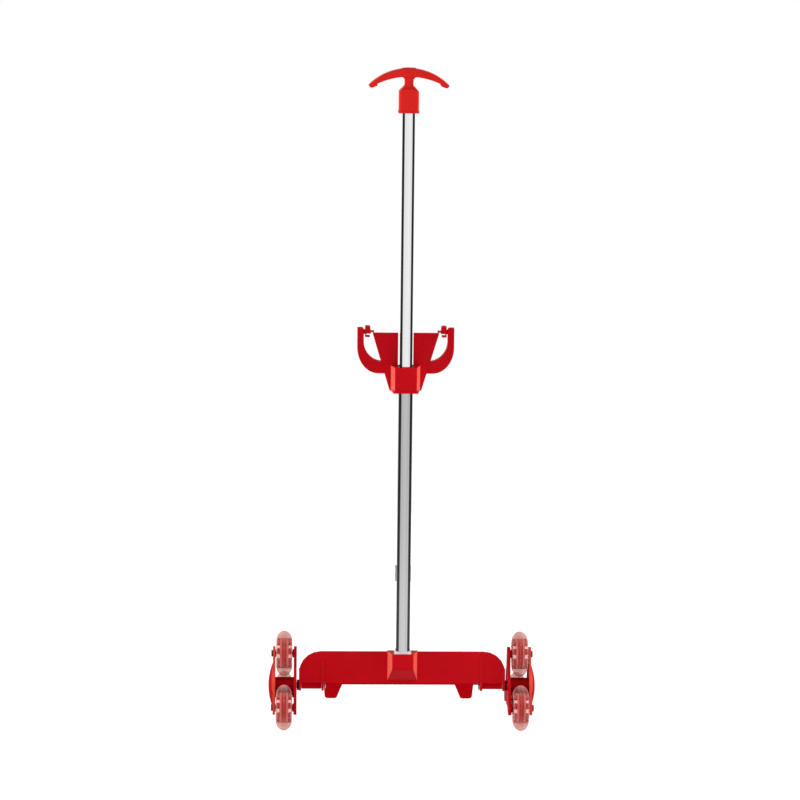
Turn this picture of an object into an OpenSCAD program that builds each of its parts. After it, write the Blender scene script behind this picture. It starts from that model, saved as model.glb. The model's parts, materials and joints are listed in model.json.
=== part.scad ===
// Folding trolley for a school bag: a red base bracket with two tri-star wheel
// clusters, a folding platform, a two-stage pole with a push-button T-grip, and
// a bag bracket with two strap arms.
// Millimetres. +Z is up, -Y is the side of the person pulling it, +Y is the bag
// side. The origin is on the floor, under the middle of the overall box.

/* [Wheel clusters] */
// Outside diameter of each wheel
wheel_d = 60; // [54:1:66]
// Width of each wheel
wheel_w = 21.4; // [20:0.2:24]
// Distance from a cluster's hub to each of its three wheel axles
cluster_arm = 43; // [41:0.5:48]
// Radius of the round end of each cluster arm
lobe_r = 9.5; // [8.5:0.5:11]
// Thickness of a cluster's inner side plate
carrier_t = 4; // [3:0.5:5]
// Thickness of a cluster's outer side plate
outer_carrier_t = 3.2; // [2.8:0.1:4]
// Height of the dome on the outer side plate
dome_h = 5.9; // [4:0.1:6.5]
// Diameter of the bolt that each wheel turns on
bolt_d = 6; // [5:0.5:7]
// Number of lugs that key the tyre to its core
lug_count = 8; // [6:1:10]
// Depth of the tyre from its tread to the rim of the core
tyre_depth = 10; // [8:0.5:11]
// Length of each lug round the wheel
lug_w = 7.6; // [6:0.2:9]

/* [Hub axles] */
// Diameter of the two stub axles
axle_d = 8; // [7:0.5:9]
// Radial running clearance of the pieces that turn on an axle or a bolt
run_gap = 0.08; // [0.05:0.01:0.1]
// Thickness of the black spacer between the base bracket and each cluster
spacer_t = 3; // [2:0.5:5]

/* [Base bracket] */
// Overall width of the base bracket over its end cheeks
base_w = 274; // [250:2:300]
// Height of the back plate
base_plate_h = 43; // [38:1:56]
// Wall thickness of the back plate, cheeks and ribs
base_t = 3; // [2.5:0.5:4]
// Radius of the back plate's two top corners
base_corner_r = 29; // [16:1:34]
// Clear length of each hinge barrel, between a cheek and its rib
knuckle_l = 27; // [22:1:32]
// How deep the pole stands in its socket
socket_depth = 17.5; // [15:0.5:22]

/* [Pole] */
// Width of the outer tube, side to side
tube_w = 18.4; // [17:0.2:20]
// Depth of the outer tube, front to back
tube_d = 22; // [21:0.5:25]
// Wall of both tubes
tube_t = 0.8; // [0.8:0.1:1.2]
// Length of the outer tube
outer_tube_l = 398; // [340:1:440]
// Length of inner tube that shows with the handle pulled out
extension = 330.6; // [260:1:360]
// Radius of the outer tube's corners
tube_corner_r = 5; // [3:0.5:6]
// Length of inner tube that stays in the outer tube
tube_overlap = 74; // [70:1:110]

/* [Bag bracket] */
// Gap between the plate's top corner and each strap arm
strap_gap = 11.2; // [10:0.2:16]
// Height of the bag bracket's plate
bag_plate_h = 76.4; // [72:1:90]
// Width of that plate at its top
bag_plate_top_w = 87.4; // [80:1:90]
// Width of that plate at its bottom
bag_plate_low_w = 41.4; // [40:1:50]
// Height of the sleeve that grips the outer tube
sleeve_h = 34; // [28:1:38]
// Thickness of the strap arms, front to back
arm_depth = 12; // [10:0.5:14]
// Width of a strap arm
arm_w = 8.4; // [7.5:0.1:9.5]

/* [Grip] */
// Height of the grip from its foot to the top of the bow
grip_h = 57.1; // [56:0.1:64]
// Height of the grip's socket up to its shoulders
grip_socket_h = 27.4; // [25:0.2:29]
// Radius of the bow's top
bow_r = 73.5; // [68:0.5:82]
// Radius of the bow's underside
bow_under_r = 95; // [88:1:106]
// Thickness of the bow at its middle
bow_t = 10.5; // [10:0.5:12]
// Width of the bow over its two ends
bow_w = 104; // [96:1:112]
// Depth of the bow, front to back
bow_depth = 22; // [18:1:26]
// Width of the grip's socket
grip_socket_w = 25.6; // [24:0.5:29]
// Depth of the grip's socket, front to back
grip_socket_d = 29; // [28:0.5:32]
// Travel of the push button
button_travel = 3; // [2:0.5:3]

/* [Platform] */
// Reach of the platform from the hub axles to its front edge
platform_reach = 158.5; // [130:0.5:180]
// Width of the platform's deck
platform_w = 207.2; // [190:0.5:207]
// Thickness of the deck
deck_t = 3; // [2.5:0.5:4]
// Height of the front lip above the deck
lip_h = 6.5; // [4:0.5:7]
// Thickness of the front lip
lip_t = 4.4; // [3.5:0.1:4.8]
// Width of each leg at the floor
leg_foot_w = 15.5; // [12:0.5:20]
// How far each leg's outer edge leans out, from the floor up to the deck
leg_lean = 5; // [2:0.5:6]

/* [Hidden] */
$fn = 64;

// Places of a cluster's wheels, as angles about its hub
TOP = 90;
FRONT = 210;
REAR = 330;
LEFT = -1;
RIGHT = 1;

red = [0.76, 0.07, 0.08];
grip_red = [0.84, 0.13, 0.14];
alloy = [0.82, 0.83, 0.85];
steel = [0.62, 0.63, 0.65];
black = [0.08, 0.08, 0.09];
clear_pu = [0.95, 0.80, 0.79];
white = [0.92, 0.92, 0.90];

fit = 0.1;       // clearance of pieces that slide or are pushed together
apart = 0.3;     // clearance of pieces that move past each other
over = 1;        // how far a cut runs past the face it opens

// The hub's height and the frame's depth follow from the wheels and the platform
wheel_r = wheel_d / 2;
hub_z = wheel_r + cluster_arm * sin(30);
front_reach = cluster_arm * cos(30) + wheel_r;
axle_y = (front_reach - platform_reach) / 2;
axle_r = axle_d / 2;
boss_r = axle_r + 3;
bolt_r = bolt_d / 2;

// Stations across the trolley, as distances from its middle
cheek_out = base_w / 2;
cheek_in = cheek_out - base_t;
rib_out = cheek_in - knuckle_l;
rib_in = rib_out - base_t;
plate_in = cheek_out + spacer_t;
plate_in_out = plate_in + carrier_t;
wheel_in_gap = 2;
wheel_out_gap = 1;
wheel_in = plate_in_out + wheel_in_gap;
wheel_mid = wheel_in + wheel_w / 2;
wheel_out = wheel_in + wheel_w;
plate_out = wheel_out + wheel_out_gap;
plate_out_out = plate_out + outer_carrier_t;
axle_tail = 2.5;
axle_in = rib_in - axle_tail;
axle_nose = 2;
axle_out = plate_out_out + axle_nose;
bolt_head_t = 2.2;

// Base bracket, from the hub's height up
back_y = -9;
front_y = back_y - base_t;
base_low = hub_z + 5.5;
base_top = base_low + base_plate_h;
socket_top = base_top + 1.3;
tube_foot = socket_top - socket_depth;
wall = 2.6;

// Pole
pole_y = -8.5 - tube_d / 2;
corner_r = tube_corner_r;
tube_top = tube_foot + outer_tube_l;
inner_w = tube_w - 2 * (tube_t + fit * 2);
inner_d = tube_d - 2 * (tube_t + fit * 2);
inner_corner_r = corner_r - tube_t - fit * 2 + 0.4;
inner_bore_r = inner_corner_r - tube_t;
ferrule_side = 2.1;
ferrule_face = 0.9;
ferrule_w = tube_w + 2 * ferrule_side;
ferrule_d = tube_d + 2 * ferrule_face;
ferrule_top = socket_top + 3.4;
socket_w = ferrule_w + 2 * fit;
socket_d = ferrule_d + 2 * fit;
socket_front_y = pole_y - socket_d / 2 - wall;
socket_back_y = pole_y + socket_d / 2 + wall;
screw_r = 1.5;

// Bag bracket
sleeve_top = tube_top + 2.4;
sleeve_low = sleeve_top - sleeve_h;
bag_plate_low = sleeve_low + 0.5;
bag_plate_top = bag_plate_low + bag_plate_h;
bag_slot_w = tube_w + 1.6;
sleeve_rear_flare = 19.6;
sleeve_front_flare = 8.8;
sleeve_front_y = pole_y - tube_d / 2 - fit - 3.4;
sleeve_back_y = pole_y + tube_d / 2 + fit + 3;
arm_y = back_y + arm_depth - 1;
arm_top = bag_plate_top + 5.7;
arm_in = bag_plate_top_w / 2 + strap_gap;
arm_out = arm_in + arm_w;
gate_pin_r = 1.5;
gate_pin_z = arm_top - 5.2;
gate_t = arm_depth - 2 * 3.2;

// The handle slides down until the grip stands on the bag plate, or until the
// inner tube reaches the foot of the outer one
handle_travel = min(floor(extension - (bag_plate_top - sleeve_top) - apart),
                    floor(outer_tube_l - tube_overlap - 4));

// Grip and what it holds
grip_low = sleeve_top + extension;
shoulder_z = grip_low + grip_socket_h;
neck_z = shoulder_z + 8.1;
bow_top = grip_low + grip_h;
bow_low = bow_top - bow_t;
neck_w = 11;
inner_top = shoulder_z - 4;
inner_low = sleeve_top - tube_overlap;
button_w = 18;
button_proud = 0.8;
button_floor = bow_low + 2.4;
button_under = button_floor + button_travel + 0.5;
rod_r = 1.6;
spring_chamber_r = 3.6;
spring_chamber_low = neck_z - 3;

// Lock in the foot of the inner tube
pin_r = 2.9;
pin_height = 26;
pin_z = inner_low + pin_height;
pin_nose = inner_d / 2 - fit;
collar_r = 4.6;
collar_t = 2;
collar_back = -3;
collar_face = collar_back + collar_t;
prong_in = pin_r + 0.2;
prong_out = collar_r;
prong_back = 3;
prong_drop = 0.6;
wedge_z = pin_z + 3.6;
wedge_h = 4.5;
housing_w = inner_w - 2 * tube_t - 2 * fit;
housing_d = inner_d - 2 * tube_t - 2 * fit;
housing_top = pin_z + 16;
cavity_back = -housing_d / 2 + 0.8;

// Platform
deck_top = hub_z + 1;
deck_low = deck_top - deck_t;
deck_start = boss_r + 3;
ear_end = deck_start + 16;
skirt_start = ear_end + 6;
skirt_h = 8;
skirt_t = 2.4;
knuckle_r = axle_r + 1.2;
lip_mid = platform_reach - lip_t / 2;
leg_front = platform_reach - 12;
leg_depth = 18;

// Catch on the pole that holds the folded platform by its lip
catch_z = hub_z + lip_mid;
catch_w = tube_w + 2;
catch_pad_t = 1.6;
lip_relief = 1.4;
lug_gap = lip_t + 1.1;
lug_t = 5;

// Corner points of an outline, each rounded by its own radius
function corner_arc(before, point, after, r, steps = 5) =
    r == 0 ? [point] :
    let (
        u = (before - point) / norm(before - point),
        v = (after - point) / norm(after - point),
        half = acos(u * v) / 2,
        centre = point + (u + v) / norm(u + v) * r / sin(half),
        start = point + u * r / tan(half) - centre,
        end = point + v * r / tan(half) - centre,
        a0 = atan2(start.y, start.x),
        turn = atan2(end.y, end.x) - a0,
        sweep = turn > 180 ? turn - 360 : turn < -180 ? turn + 360 : turn
    )
    [for (i = [0 : steps]) centre + r * [cos(a0 + sweep * i / steps), sin(a0 + sweep * i / steps)]];

function rounded(points, radii) =
    let (n = len(points))
    [for (i = [0 : n - 1]) each
        corner_arc(points[(i + n - 1) % n], points[i], points[(i + 1) % n], radii[i])];

function ellipse_arc(centre, a, b, from, to, steps = 12) =
    [for (i = [0 : steps])
        let (t = from + (to - from) * i / steps) centre + [a * cos(t), b * sin(t)]];

// Everything below is drawn with Y = 0 at the hub axles
module placed() translate([0, axle_y, 0]) children();

// A YZ outline given a thickness from x0 to x1
module along_x(x0, x1)
    translate([x0, 0, 0]) rotate([90, 0, 90]) linear_extrude(x1 - x0) children();

// An XZ outline given a thickness from y0 to y1
module along_y(y0, y1)
    translate([0, y1, 0]) rotate([90, 0, 0]) linear_extrude(y1 - y0) children();

// A round bar along X from x0 to x1, about a point of the YZ plane
module bar_x(x0, x1, y, z, r)
    translate([x0, y, z]) rotate([0, 90, 0]) cylinder(h = x1 - x0, r = r);

module bar_y(x, y0, y1, z, r)
    translate([x, y1, z]) rotate([90, 0, 0]) cylinder(h = y1 - y0, r = r);

module block(x0, x1, y0, y1, z0, z1)
    translate([x0, y0, z0]) cube([x1 - x0, y1 - y0, z1 - z0]);

// A rectangle with true round corners
module round_rect(w, d, r) {
    square([w - 2 * r, d], center = true);
    square([w, d - 2 * r], center = true);
    for (x = [-1, 1], y = [-1, 1])
        translate([x * (w / 2 - r), y * (d / 2 - r)]) circle(r);
}

module pole_bar(w, d, r, z0, z1)
    translate([0, pole_y, z0]) linear_extrude(z1 - z0) round_rect(w, d, r);

// On the left side the drawing is mirrored
module on_side(side) mirror([side == LEFT ? 1 : 0, 0, 0]) children();

// ---- Base bracket --------------------------------------------------------

module base_plate_outline() polygon(rounded(
    [[-cheek_out, base_low], [cheek_out, base_low], [cheek_out, base_top], [-cheek_out, base_top]],
    [0, 0, base_corner_r, base_corner_r]));

// A cheek or rib: from the plate back to a boss round the axle
module hinge_ear(x0, x1, top) {
    along_x(x0, x1) polygon([
        [front_y - 1, hub_z - boss_r * 0.5], [front_y - 1, top], [back_y, top],
        [-2.6, hub_z + boss_r], [0, hub_z - boss_r], [-boss_r * 0.6, hub_z - boss_r]]);
    bar_x(x0, x1, 0, hub_z, boss_r);
}

// Plan of the socket: it narrows towards the front, with softened corners
module socket_plan(rear_w, front_w, y_front, y_rear) polygon(rounded(
    [[-rear_w / 2, y_rear], [-front_w / 2, y_front], [front_w / 2, y_front], [rear_w / 2, y_rear]],
    [0, 2.4, 2.4, 0]));

// Side view of the socket: full depth down to the tube's foot, then sloping in
module socket_profile() polygon(rounded(
    [[back_y, base_low + 4], [back_y, socket_top], [socket_front_y, socket_top],
     [socket_front_y, tube_foot - wall], [front_y, base_low + 4]],
    [0, 0, 1.2, 8, 0]));

module base_bracket() color(red) placed() difference() {
    union() {
        along_y(front_y, back_y) base_plate_outline();
        for (side = [LEFT, RIGHT]) on_side(side) {
            hinge_ear(cheek_in, cheek_out, base_top - base_corner_r + 6);
            hinge_ear(rib_in, rib_out, base_top - 12);
        }
        intersection() {
            translate([0, 0, base_low]) linear_extrude(socket_top - base_low)
                socket_plan(socket_w + 18, socket_w + 5.2, socket_front_y, back_y);
            along_x(-socket_w, socket_w) socket_profile();
        }
        block(-socket_w / 2 - wall, socket_w / 2 + wall,
              back_y - over, socket_back_y, tube_foot - wall, base_top);
    }
    pole_bar(socket_w, socket_d, 1.5, tube_foot, socket_top + over);
    for (side = [LEFT, RIGHT]) on_side(side)
        bar_x(rib_in - over, cheek_out + over, 0, hub_z, axle_r);
    for (x = [-1, 1])
        bar_y(x * screw_x, pole_y, socket_back_y + over, socket_screw_z, screw_r);
}

screw_x = 4.5;
socket_screw_z = tube_foot + socket_depth / 2;
sleeve_screw_z = sleeve_low + 10;

module stub_axle(side) color(steel) placed() on_side(side) difference() {
    bar_x(axle_in, axle_out, 0, hub_z, axle_r);
    clip_groove(axle_in + 0.8);
    clip_groove(plate_out_out + 0.4);
}

module clip_groove(x) difference() {
    bar_x(x, x + clip_t, 0, hub_z, axle_r + over);
    bar_x(x - over, x + clip_t + over, 0, hub_z, axle_r - groove);
}

clip_t = 1;
groove = 0.8;

module left_axle() stub_axle(LEFT);
module right_axle() stub_axle(RIGHT);

// Spring clips that sit in the grooves at both ends of each axle
module axle_clips() color(black) placed()
    for (side = [LEFT, RIGHT], x = [axle_in + 0.8, plate_out_out + 0.4]) on_side(side) difference() {
        bar_x(x, x + clip_t, 0, hub_z, axle_r + 2);
        bar_x(x - over, x + clip_t + over, 0, hub_z, axle_r - groove);
        block(x - over, x + clip_t + over, -2, 2, hub_z - boss_r, hub_z);
    }

module hub_spacers() color(black) placed()
    for (side = [LEFT, RIGHT]) on_side(side) difference() {
        bar_x(cheek_out, plate_in - apart, 0, hub_z, boss_r);
        bar_x(cheek_out - over, plate_in + over, 0, hub_z, axle_r);
    }

// ---- Pole ----------------------------------------------------------------

// Two shallow grooves run down the front and the back face of a tube
module tube_grooves(w, d, z0, z1)
    for (x = [-1, 1], y = [-1, 1])
        translate([x * w / 6, pole_y + y * d / 2, z0 - over]) rotate([0, 0, 45])
            translate([-0.2, -0.2, 0]) cube([0.4, 0.4, z1 - z0 + 2 * over]);

module outer_tube() color(alloy) placed() difference() {
    pole_bar(tube_w, tube_d, corner_r, tube_foot, tube_top);
    pole_bar(tube_w - 2 * tube_t, tube_d - 2 * tube_t, corner_r - tube_t, tube_foot - over, tube_top + over);
    tube_grooves(tube_w, tube_d, tube_foot, tube_top);
    for (z = [pin_z, pin_z - handle_travel])
        bar_y(0, pole_y, pole_y + tube_d, z, pin_r + apart);
    for (x = [-1, 1], z = [socket_screw_z, sleeve_screw_z])
        bar_y(x * screw_x, pole_y, pole_y + tube_d, z, screw_r);
}

module inner_tube() color(alloy) placed() difference() {
    pole_bar(inner_w, inner_d, inner_corner_r, inner_low, inner_top);
    pole_bar(inner_w - 2 * tube_t, inner_d - 2 * tube_t, inner_bore_r,
             inner_low - over, inner_top + over);
    tube_grooves(inner_w, inner_d, inner_low, inner_top);
    bar_y(0, pole_y, pole_y + tube_d, pin_z, pin_r + fit);
    bar_y(0, pole_y, pole_y + tube_d, grip_screw_z, screw_r);
}

module tube_ferrule() color(white) placed() difference() {
    union() {
        pole_bar(ferrule_w, ferrule_d, 1.4, tube_foot, socket_top);
        pole_bar(tube_w + 1.8, tube_d + 1.8, corner_r + 0.6, socket_top - over, ferrule_top);
    }
    pole_bar(tube_w, tube_d, corner_r, tube_foot - over, ferrule_top + over);
    for (x = [-1, 1])
        bar_y(x * screw_x, pole_y, pole_y + tube_d, socket_screw_z, screw_r);
}

module guide_bush() color(black) placed() difference() {
    pole_bar(bag_slot_w - 2 * fit, tube_d + 1.4, corner_r, tube_top, sleeve_top - apart);
    pole_bar(inner_w + 2 * fit, inner_d + 2 * fit, inner_corner_r + fit, tube_top - over, sleeve_top);
}

module pan_screw(x, z, head_y, tip_y) {
    bar_y(x, tip_y, head_y, z, screw_r);
    bar_y(x, head_y, head_y + 1.6, z, screw_r + 1.3);
}

// They stop flush with the tube's inner face, clear of the sliding tube
module tube_screws() color(black) placed() {
    tip_y = pole_y + tube_d / 2 - tube_t;
    for (x = [-1, 1]) {
        pan_screw(x * screw_x, socket_screw_z, socket_back_y, tip_y);
        pan_screw(x * screw_x, sleeve_screw_z, sleeve_back_y, tip_y);
    }
}

module platform_catch() color(black) placed() {
    block(-catch_w / 2, catch_w / 2, catch_y, catch_y + catch_pad_t,
          catch_z - lug_gap / 2 - lug_t - 5, catch_z + lug_gap / 2 + lug_t);
    for (z = [catch_z - lug_gap / 2 - lug_t, catch_z + lug_gap / 2])
        block(-catch_w / 2, catch_w / 2, catch_y, catch_lug_y, z, z + lug_t);
}

catch_y = pole_y + tube_d / 2;
catch_lug_y = hub_z - deck_top - 1;

// ---- Bag bracket ---------------------------------------------------------

module bag_plate_outline() difference() {
    polygon(rounded(
        [[-bag_plate_low_w / 2, bag_plate_low], [bag_plate_low_w / 2, bag_plate_low],
         [bag_plate_top_w / 2, bag_plate_top], [-bag_plate_top_w / 2, bag_plate_top]],
        [2.5, 2.5, 1, 1]));
    translate([-bag_slot_w / 2, sleeve_top]) square([bag_slot_w, bag_plate_h]);
}

// One strap arm: it leaves the plate low down and curls up beside it
module strap_arm_outline() {
    low = sleeve_low + bag_plate_h * 0.3;
    root_w = arm_w * 1.83;
    out_r = [arm_out * 0.44, bag_plate_h * 0.445];
    in_r = [arm_in * 0.45, bag_plate_h * 0.345];
    out_c = [arm_out - out_r.x, low + out_r.y];
    in_c = [arm_in - in_r.x, low + root_w + in_r.y];
    root_x = bag_plate_low_w / 2 - 4;
    polygon(concat(
        [[root_x, low], [out_c.x, low]],
        ellipse_arc(out_c, out_r.x, out_r.y, -90, 0),
        [[arm_out, arm_top], [arm_in + 2, arm_top], [arm_in, arm_top - 2]],
        ellipse_arc(in_c, in_r.x, in_r.y, 0, -90),
        [[root_x, low + root_w]]));
}

module bag_bracket() color(red) placed() difference() {
    union() {
        along_y(front_y, back_y) bag_plate_outline();
        for (side = [LEFT, RIGHT]) on_side(side)
            along_y(back_y - 1, arm_y) strap_arm_outline();
        translate([0, 0, sleeve_low]) linear_extrude(sleeve_h)
            socket_plan(bag_slot_w + sleeve_rear_flare, bag_slot_w + sleeve_front_flare,
                        sleeve_front_y, back_y);
        translate([0, 0, sleeve_low]) linear_extrude(3)
            socket_plan(bag_slot_w + 17, bag_slot_w + 12.8, sleeve_front_y - 0.6, front_y);
        block(-tube_w / 2 - 5, tube_w / 2 + 5, back_y - over, sleeve_back_y, sleeve_low, sleeve_top);
    }
    pole_bar(tube_w + 2 * fit, tube_d + 2 * fit, corner_r + fit, sleeve_low - over, tube_top);
    pole_bar(bag_slot_w, tube_d + 1.8, corner_r, tube_top, sleeve_top + over);
    for (side = [LEFT, RIGHT]) on_side(side) {
        block(arm_in - over, arm_out + over, gate_y - gate_t / 2 - apart, gate_y + gate_t / 2 + apart,
              gate_pin_z - gate_r - apart, arm_top + over);
        bar_y(gate_pin_x, gate_pin_front, arm_y + over, gate_pin_z, gate_pin_r);
    }
    for (x = [-1, 1])
        bar_y(x * screw_x, pole_y, sleeve_back_y + over, sleeve_screw_z, screw_r);
}

gate_y = (back_y - 1 + arm_y) / 2;
gate_r = 3.4;
gate_pin_x = arm_out - arm_w / 2 + 0.4;
gate_pin_front = back_y + 0.4;

// The pins are pushed in from the back and end short of the arms' front faces
module gate_pins() color(steel) placed()
    for (side = [LEFT, RIGHT]) on_side(side)
        bar_y(gate_pin_x, gate_pin_front, arm_y, gate_pin_z, gate_pin_r);

// A gate closes the top of its strap slot: thumb block, toe on the plate's
// corner, and a slim bar that hangs under the block
module gate_outline() {
    block_out = arm_in - 1.6;
    block_in = block_out - strap_gap * 0.68;
    bar_z = bag_plate_top - 6.2;
    polygon(rounded(
        [[block_in, bag_plate_top - 1.6], [block_out, bag_plate_top - 1.6],
         [block_out, bag_plate_top + 8.2], [block_in + 1, bag_plate_top + 8.2]],
        [0.4, 0.4, 1, 1.6]));
    translate([bag_plate_top_w / 2 - 2.2, bag_plate_top + 0.1])
        square([block_in - bag_plate_top_w / 2 + 3.2, 1.5]);
    translate([block_in + 1.4, bar_z]) square([block_out - block_in - 1.4, 1.7]);
    translate([block_out - 1.3, bar_z]) square([1.3, 5.6]);
}

module gate(side) color(red) placed() on_side(side) difference() {
    union() {
        along_y(back_y - 1, arm_y) gate_outline();
        along_y(gate_y - gate_t / 2, gate_y + gate_t / 2) {
            translate([gate_pin_x, gate_pin_z]) circle(gate_r);
            translate([arm_in - 4, gate_pin_z - 2.8]) square([gate_pin_x - arm_in + 4, 5.6]);
        }
    }
    bar_y(gate_pin_x, back_y - 2 * over, arm_y + over, gate_pin_z, gate_pin_r + run_gap);
}

module left_gate() gate(LEFT);
module right_gate() gate(RIGHT);

// ---- Grip, button and lock -----------------------------------------------

grip_screw_z = grip_low + grip_socket_h * 0.45;
bow_c = bow_top - bow_r;
under_c = bow_low - bow_under_r;
end_x = bow_w / 2;
edge_r = 3;

function bow_top_at(x) = bow_c + sqrt(bow_r * bow_r - x * x);
function bow_low_at(x) = under_c + sqrt(bow_under_r * bow_under_r - x * x);

// Front view of the bow: between the two arcs, with slanted ends and a stop for
// the fingers under each end
module bow_outline() {
    intersection() {
        difference() {
            translate([0, bow_c]) circle(bow_r, $fn = 128);
            translate([0, under_c]) circle(bow_under_r, $fn = 160);
        }
        polygon([[-end_x, bow_top_at(end_x)], [-end_x + 4, bow_low_at(end_x) - 2],
                 [end_x - 4, bow_low_at(end_x) - 2], [end_x, bow_top_at(end_x)],
                 [end_x, bow_top + over], [-end_x, bow_top + over]]);
    }
    for (side = [0, 1]) mirror([side, 0, 0]) polygon(rounded(
        [[end_x - 11.4, bow_low_at(end_x - 11.4) + 3], [end_x - 11.4, bow_low_at(end_x - 11.4) - 2.6],
         [end_x - 3.6, bow_low_at(end_x - 3.6) - 1.4], [end_x, bow_top_at(end_x) - 0.6],
         [end_x - 4, bow_top_at(end_x - 4) - 2]],
        [0, 2.2, 2.8, 1, 0]));
}

// Front view of the neck, its fillets into the bow, the shoulders and the socket
module stem_outline() polygon(rounded(
    [[-grip_socket_w / 2, grip_low], [grip_socket_w / 2, grip_low],
     [grip_socket_w / 2, shoulder_z], [neck_w / 2, neck_z],
     [neck_w / 2, bow_low_at(fillet_x)], [fillet_x, bow_low_at(fillet_x) + 0.8],
     [-fillet_x, bow_low_at(fillet_x) + 0.8], [-neck_w / 2, bow_low_at(fillet_x)],
     [-neck_w / 2, neck_z], [-grip_socket_w / 2, shoulder_z]],
    [0.8, 0.8, 1.5, 2, neck_fillet_r, 0, 0, neck_fillet_r, 2, 1.5]));

neck_fillet_r = 5;
fillet_x = neck_w / 2 + 1.4 * neck_fillet_r;

// Takes the sharp edges off the bow's top
module edge_cutter()
    for (y = [-1, 1])
        translate([0, pole_y + y * bow_depth / 2, bow_c]) rotate([90, 0, 0])
            rotate_extrude($fn = 160) translate([bow_r, 0]) difference() {
                translate([-edge_r, -edge_r]) square([edge_r + over, 2 * edge_r]);
                for (v = [-1, 1]) translate([-edge_r, v * edge_r]) circle(edge_r);
            }

module grip() color(grip_red) placed() difference() {
    union() {
        difference() {
            along_y(pole_y - bow_depth / 2, pole_y + bow_depth / 2) bow_outline();
            edge_cutter();
        }
        intersection() {
            along_y(pole_y - grip_socket_d / 2, pole_y + grip_socket_d / 2) stem_outline();
            union() {
                pole_bar(grip_socket_w, grip_socket_d, 4, grip_low, shoulder_z + 3);
                pole_bar(grip_socket_w + 10, bow_depth - 2, 6, shoulder_z, bow_top);
            }
        }
        pole_bar(grip_socket_w + 1.4, grip_socket_d + 1, 4.4, grip_low, grip_low + 2.4);
    }
    pole_bar(inner_w, inner_d, inner_corner_r, grip_low - over, inner_top);
    translate([0, pole_y, inner_top - over]) cylinder(r = rod_r + apart, h = bow_top - inner_top);
    translate([0, pole_y, spring_chamber_low]) cylinder(r = spring_chamber_r, h = bow_top);
    translate([-button_w / 2 - apart, pole_y - button_d / 2 - apart, button_floor])
        cube([button_w + 2 * apart, button_d + 2 * apart, bow_t]);
    bar_y(0, pole_y, pole_y + grip_socket_d, grip_screw_z, screw_r);
}

button_d = 11;

module grip_screw() color(black) placed()
    pan_screw(0, grip_screw_z, pole_y + grip_socket_d / 2, pole_y + inner_d / 2 - tube_t - 1);

module button() color(grip_red) placed() difference() {
    intersection() {
        translate([-button_w / 2, pole_y - button_d / 2, button_under])
            cube([button_w, button_d, bow_t]);
        along_y(pole_y - bow_depth, pole_y + bow_depth)
            translate([0, bow_c]) circle(bow_r + button_proud, $fn = 128);
    }
    translate([0, pole_y, button_under - over]) cylinder(r = rod_r, h = over + 2.5);
}

// The rod carries the button's push down to a fork of two wedges, which draw
// the lock pin in by its collar
module push_rod() color(steel) placed() {
    head_z = wedge_z + wedge_h;
    translate([0, pole_y, head_z + 2]) cylinder(r = rod_r, h = button_under + 2.5 - head_z - 2);
    translate([0, pole_y, 0]) {
        block(-prong_out, prong_out, -wedge_h - 0.9, prong_back, head_z, head_z + 3);
        for (x = [-prong_out, prong_in])
            along_x(x, x + prong_out - prong_in) polygon([
                [prong_back, pin_z + prong_drop], [prong_back, head_z + over],
                [collar_face - wedge_h + fit, head_z + over], [collar_face - wedge_h + fit, head_z],
                [collar_face + fit + wedge_z - pin_z - prong_drop, pin_z + prong_drop]]);
    }
}

module helix(r, wire, length, turns, sides = 8, per_turn = 16) {
    rings = turns * per_turn;
    points = [for (i = [0 : rings], k = [0 : sides - 1])
        let (
            a = 360 * i / per_turn,
            s = 360 * k / sides,
            reach = r + wire * cos(s) / 2
        )
        [reach * cos(a), reach * sin(a), wire / 2 + (length - wire) * i / rings + wire * sin(s) / 2]];
    sides_faces = [for (i = [0 : rings - 1], k = [0 : sides - 1])
        let (m = (k + 1) % sides)
        [i * sides + k, (i + 1) * sides + k, (i + 1) * sides + m, i * sides + m]];
    first = [for (k = [0 : sides - 1]) k];
    last = [for (k = [0 : sides - 1]) rings * sides + sides - 1 - k];
    polyhedron(points, concat(sides_faces, [first], [last]), convexity = 8);
}

module button_spring() color(steel) placed()
    translate([0, pole_y, spring_chamber_low])
        helix(spring_chamber_r - 0.9, 0.7, button_under - spring_chamber_low, 6);

module lock_pin() color(steel) placed() translate([0, pole_y, 0]) {
    bar_y(0, collar_back, pin_nose, pin_z, pin_r);
    bar_y(0, collar_back, collar_face, pin_z, collar_r);
}

module pin_spring() color(steel) placed()
    translate([0, pole_y + cavity_back, pin_z]) rotate([-90, 0, 0])
        helix(2.2, 0.5, collar_back - cavity_back, 4);

module lock_housing() color(black) placed() difference() {
    union() {
        pole_bar(housing_w, housing_d, inner_bore_r, inner_low, housing_top);
        pole_bar(inner_w, inner_d, inner_corner_r, inner_low - 2.5, inner_low);
    }
    translate([0, pole_y, 0]) {
        block(-collar_r - apart, collar_r + apart, cavity_back, prong_back + apart,
              pin_z - collar_r - apart, housing_top + over);
        bar_y(0, 0, housing_d, pin_z, pin_r + run_gap);
    }
}

// ---- Platform ------------------------------------------------------------

module leg_outline() polygon(rounded(
    [[foot_out - leg_foot_w, 0], [foot_out, 0], [foot_out + leg_lean, deck_low + 1],
     [foot_out - leg_foot_w - 1.4 - 0.4 * deck_low, deck_low + 1]],
    [4, 4, 0, 0]));

foot_out = platform_w / 2 - 2.6;

module leg() difference() {
    along_y(leg_front - leg_depth, leg_front) leg_outline();
    along_y(leg_front - leg_depth + 3, leg_front + over) difference() {
        offset(delta = -2.6) leg_outline();
        translate([0, deck_low]) square([platform_w, 2 * deck_t]);
        square([platform_w, 4]);
    }
}

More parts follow.
